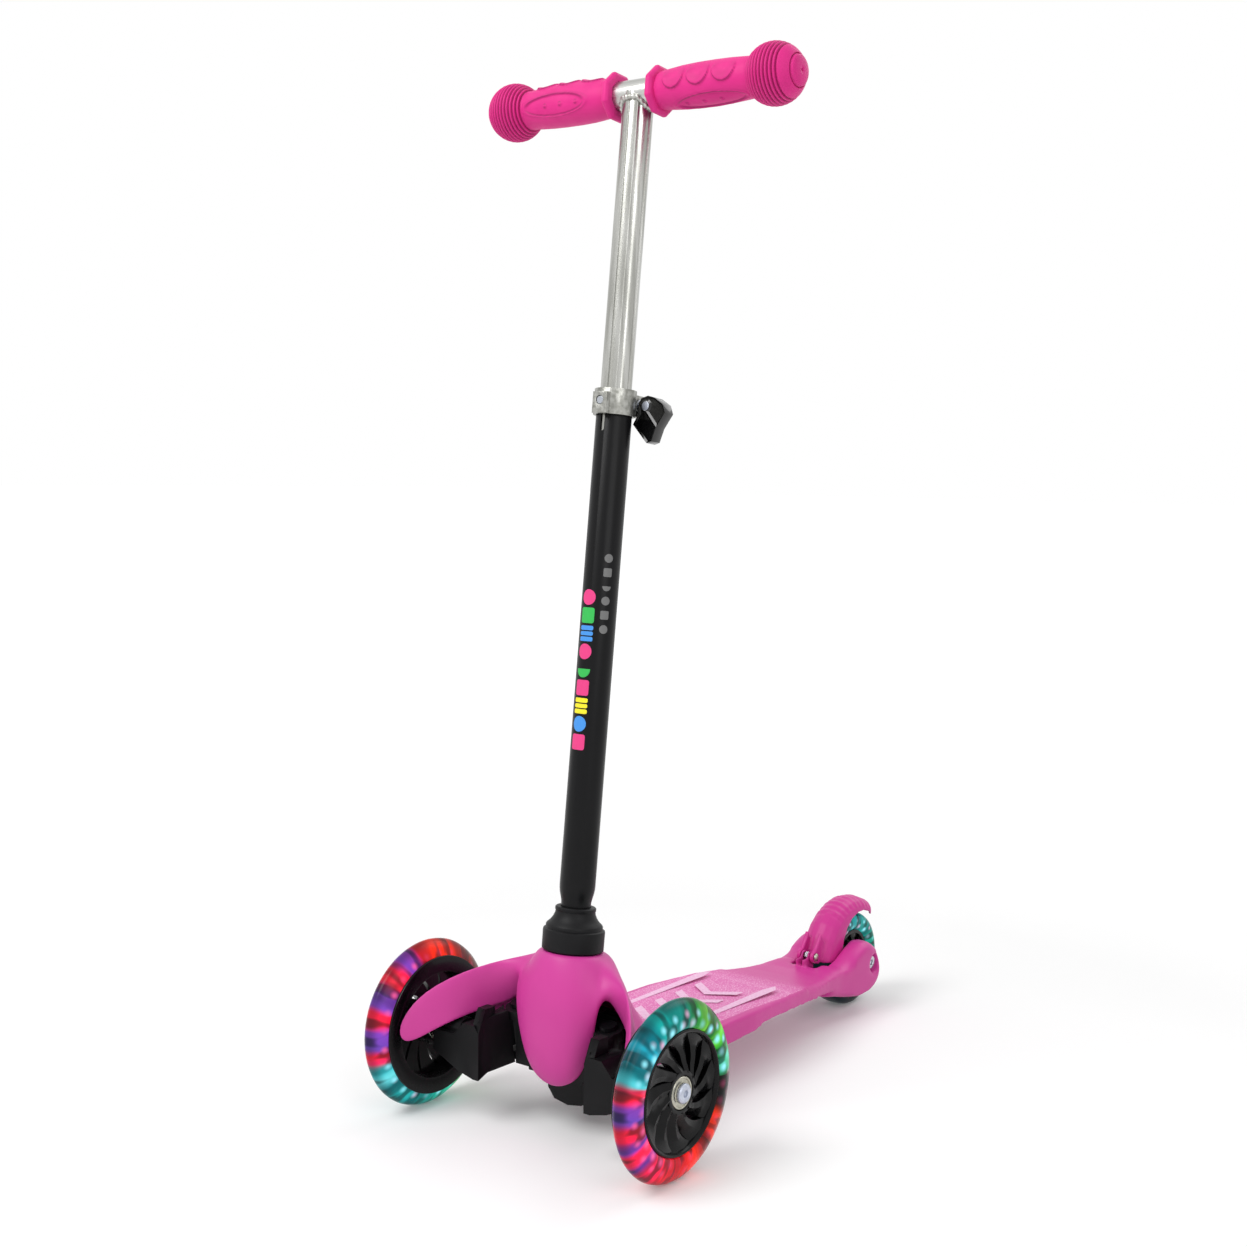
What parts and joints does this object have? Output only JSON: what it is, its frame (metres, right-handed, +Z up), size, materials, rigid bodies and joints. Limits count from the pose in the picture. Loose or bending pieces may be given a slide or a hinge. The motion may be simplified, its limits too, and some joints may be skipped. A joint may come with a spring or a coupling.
{
  "type": "kick scooter",
  "caption": "Low pink kick scooter with a leaning, glowing-wheeled front end, a black stem with a sliding T bar and ball-ended grips, and a sprung rear fender brake.",
  "frame": {"origin": "on the ground, at the middle of the object's box seen from above", "axes": "+Z up; the scooter faces -Y, and its height lever is on the +X side"},
  "size_m": [0.266, 0.503, 0.7387],
  "materials": {
    "pink_plastic": "satin",
    "grip_rubber": "soft satin",
    "clear_tyre": "clear gloss over coloured lights",
    "light_ring": "clear",
    "hub_plastic": "gloss black",
    "black_plastic": "satin black",
    "black_paint": "satin black paint",
    "bare_aluminium": "bright anodised",
    "steel": "zinc plated"
  },
  "bodies": {
    "frame": {"deck": "pink_plastic", "front_cover": "pink_plastic", "front_chassis": "black_plastic", "deck_screw_1": "steel", "deck_screw_2": "steel", "deck_screw_3": "steel", "deck_screw_4": "steel", "cover_screw_1": "steel", "cover_screw_2": "steel", "kingpin_right": "steel", "kingpin_left": "steel", "kingpin_nut_right": "steel", "kingpin_nut_left": "steel", "return_spring_right": "steel", "return_spring_left": "steel", "stem_collar": "black_plastic", "lower_tube": "black_paint", "height_clamp": "bare_aluminium", "guide_screw": "steel", "clamp_bolt": "steel", "clamp_nut": "steel", "cam_washer": "steel", "barrel_pin": "steel", "brake_pin": "steel", "brake_spring": "steel", "rear_axle_bolt": "steel", "rear_axle_nut": "steel"},
    "steering_right": {"steering_arm_right": "black_plastic", "axle_bolt_right": "steel", "tie_rod_pin_right": "steel"},
    "steering_left": {"steering_arm_left": "black_plastic", "axle_bolt_left": "steel", "tie_rod_pin_left": "steel"},
    "link": {"tie_rod": "steel"},
    "brake": {"brake_fender": "pink_plastic"},
    "height_lever": {"quick_lever": "black_plastic"},
    "t_bar": {"upper_tube": "bare_aluminium", "handlebar_tube": "bare_aluminium", "weld_bead": "bare_aluminium", "grip_right": "grip_rubber", "grip_left": "grip_rubber"},
    "wheel_front_right": {"tyre_front_right": "clear_tyre", "light_ring_front_right": "light_ring", "hub_front_right": "hub_plastic", "bearing_outer_front_right": "steel", "bearing_inner_front_right": "steel", "magnet_sleeve_front_right": "steel"},
    "wheel_front_left": {"tyre_front_left": "clear_tyre", "light_ring_front_left": "light_ring", "hub_front_left": "hub_plastic", "bearing_outer_front_left": "steel", "bearing_inner_front_left": "steel", "magnet_sleeve_front_left": "steel"},
    "wheel_rear": {"tyre_rear": "clear_tyre", "light_ring_rear": "light_ring", "hub_rear": "hub_plastic", "bearing_outer_rear": "steel", "bearing_inner_rear": "steel", "magnet_sleeve_rear": "steel"}
  },
  "joints": [
    {"name": "steer_right", "type": "hinge", "parent": "frame", "child": "steering_right", "pos_m": [0.04, -0.1665, 0.0621], "axis": [0, -0.2079, 0.9781], "range_deg": [-8, 8], "stiffness_Nm_per_rad": 1.5},
    {"name": "steer_left", "type": "hinge", "parent": "frame", "child": "steering_left", "pos_m": [-0.04, -0.1665, 0.0621], "axis": [0, -0.2079, 0.9781], "range_deg": [-8, 8], "stiffness_Nm_per_rad": 1.5},
    {"name": "link_slide", "type": "slide", "parent": "frame", "child": "link", "axis": [1, 0, 0], "range_m": [-0.0045, 0.0045]},
    {"name": "spin_front_right", "type": "hinge", "parent": "steering_right", "child": "wheel_front_right", "pos_m": [0.109, -0.1915, 0.06], "axis": [1, 0, 0], "continuous": true},
    {"name": "spin_front_left", "type": "hinge", "parent": "steering_left", "child": "wheel_front_left", "pos_m": [-0.109, -0.1915, 0.06], "axis": [1, 0, 0], "continuous": true},
    {"name": "spin_rear", "type": "hinge", "parent": "frame", "child": "wheel_rear", "pos_m": [0, 0.2115, 0.04], "axis": [1, 0, 0], "continuous": true},
    {"name": "brake_press", "type": "hinge", "parent": "frame", "child": "brake", "pos_m": [0, 0.1525, 0.0535], "axis": [-1, 0, 0], "range_deg": [0, 5.5], "stiffness_Nm_per_rad": 2, "springref_deg": -5.73},
    {"name": "bar_height", "type": "slide", "parent": "frame", "child": "t_bar", "axis": [0, 0.1045, 0.9945], "range_m": [-0.18, 0]},
    {"name": "lever_open", "type": "hinge", "parent": "frame", "child": "height_lever", "pos_m": [0.016, -0.10273, 0.50248], "axis": [0, -0.9945, 0.1045], "range_deg": [0, 85]}
  ],
  "couplings": [
    {"joint": "steer_left", "follows": "steer_right", "ratio": 1},
    {"joint": "link_slide", "follows": "steer_right", "m_per_rad": -0.028}
  ]
}
